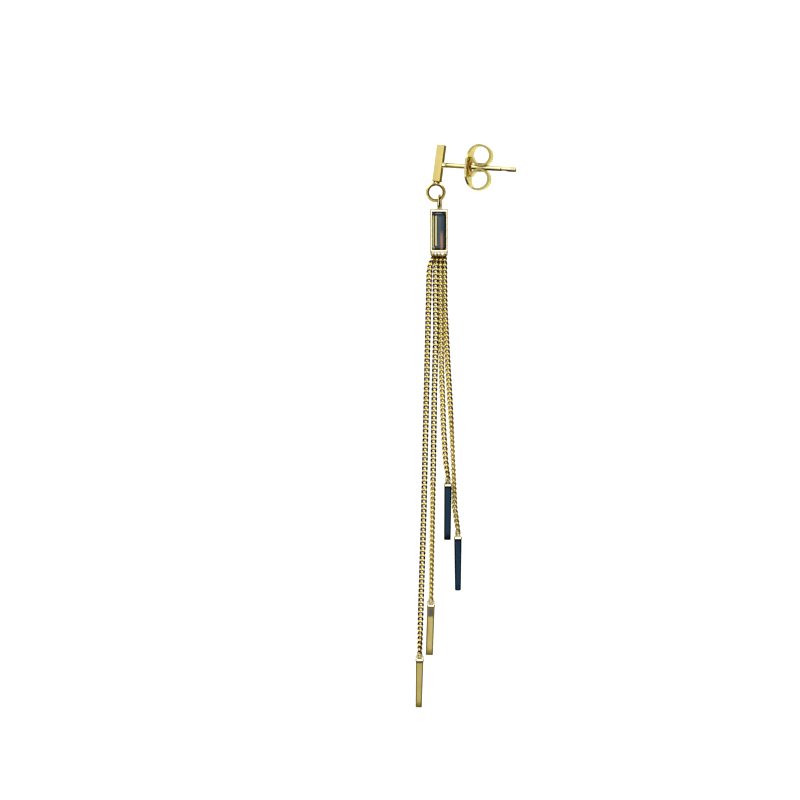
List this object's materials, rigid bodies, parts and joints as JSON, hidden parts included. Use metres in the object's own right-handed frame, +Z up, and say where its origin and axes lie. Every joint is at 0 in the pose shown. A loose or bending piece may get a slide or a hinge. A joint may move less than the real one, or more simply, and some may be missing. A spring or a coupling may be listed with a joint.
{
  "type": "chain drop earring with bar stud and butterfly nut",
  "caption": "Bar stud earring with a butterfly nut and a hanging drop: a boxed step-cut stone above fine curb chains that end in slim capped bars.",
  "frame": {"origin": "on the centre line of the post, halfway along the stretch between the front bar and the nut, where it sits in the ear", "axes": "+X towards the post's tip as seen from the front, +Y away from the camera, +Z up; the drop hangs down along -Z"},
  "size_m": [0.0139, 0.0048, 0.0781],
  "materials": {
    "polished_gold": "polished yellow gold, satin on the front bar",
    "chain_gold": "polished yellow gold links",
    "champagne_gold": "brushed pale gold with a grey band on one bar",
    "smoky_stone": "polished smoky blue-grey stone, step cut",
    "navy_stone": "polished dark blue stone"
  },
  "bodies": {
    "stud": {"ear_stud": "polished_gold"},
    "nut": {"ear_nut": "polished_gold"},
    "drop": {"pendant_case": "polished_gold", "pendant_stone": "smoky_stone", "chain_1": "chain_gold", "chain_2": "chain_gold", "chain_3": "chain_gold", "chain_3_ends": "chain_gold", "chain_4": "chain_gold", "bar_cap_1": "polished_gold", "bar_cap_2": "polished_gold", "bar_cap_3": "polished_gold", "bar_cap_4": "polished_gold", "bar_1": "champagne_gold", "bar_2": "champagne_gold", "bar_3": "navy_stone", "bar_4": "navy_stone"}
  },
  "joints": [
    {"name": "nut_slide", "type": "slide", "parent": "stud", "child": "nut", "axis": [0.9477, -0.3079, -0.0844], "range_m": [-0.002, 0.008]},
    {"name": "drop_swing", "type": "hinge", "parent": "stud", "child": "drop", "pos_m": [-0.00205, 0.00066, -0.00466], "axis": [1, 0, 0], "range_deg": [-60, 45]}
  ]
}
